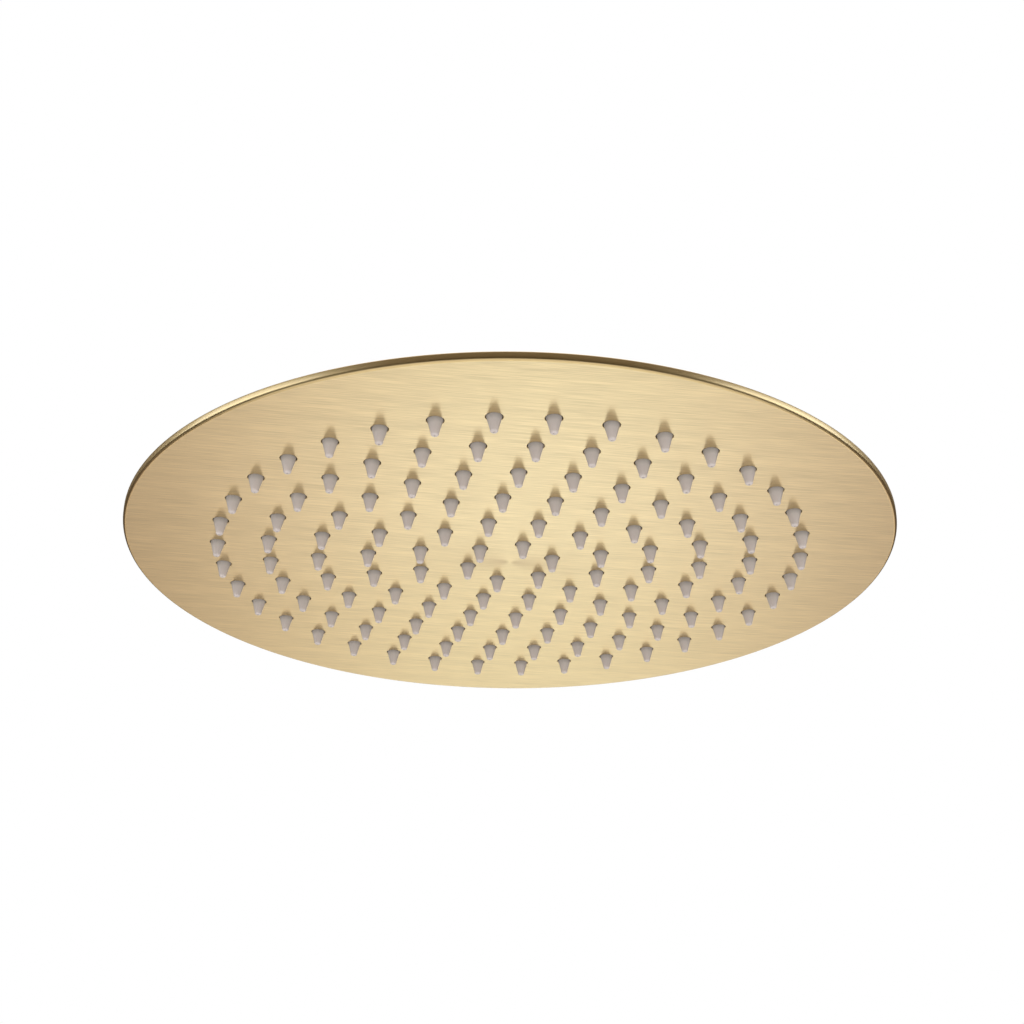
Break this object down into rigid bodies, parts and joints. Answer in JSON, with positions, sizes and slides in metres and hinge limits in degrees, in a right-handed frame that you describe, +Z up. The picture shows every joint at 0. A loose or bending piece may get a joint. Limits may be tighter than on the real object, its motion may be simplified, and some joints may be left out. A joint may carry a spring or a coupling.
{
  "type": "round shower head",
  "caption": "Slim round overhead shower head in brushed gold, with rings of soft nozzles on its face and a swivel ball inlet on its back.",
  "frame": {"origin": "centre of the mouth of the threaded inlet on top", "axes": "+Z up the shower arm, so the nozzles point to -Z; -Y is the side that faces the viewer"},
  "size_m": [0.25, 0.25, 0.0529],
  "materials": {
    "brushed_gold": "brushed gold coating on stainless steel",
    "gold_brass": "satin gold coating on turned brass",
    "nozzle_silicone": "matt warm grey silicone",
    "black_rubber": "matt black rubber",
    "steel_mesh": "woven stainless mesh"
  },
  "bodies": {
    "inlet": {"swivel_ball": "gold_brass", "filter_screen": "steel_mesh", "inlet_washer": "black_rubber"},
    "seal": {"ball_seal": "black_rubber"},
    "head": {"face_plate": "brushed_gold", "nozzle_mat": "nozzle_silicone", "back_plate": "brushed_gold", "collar_nut": "gold_brass"}
  },
  "joints": [
    {"name": "swivel", "type": "hinge", "parent": "inlet", "child": "seal", "pos_m": [0, 0, -0.0274], "axis": [0, 0, 1], "continuous": true},
    {"name": "tilt", "type": "hinge", "parent": "seal", "child": "head", "pos_m": [0, 0, -0.0274], "axis": [1, 0, 0], "range_deg": [-14, 14]}
  ]
}
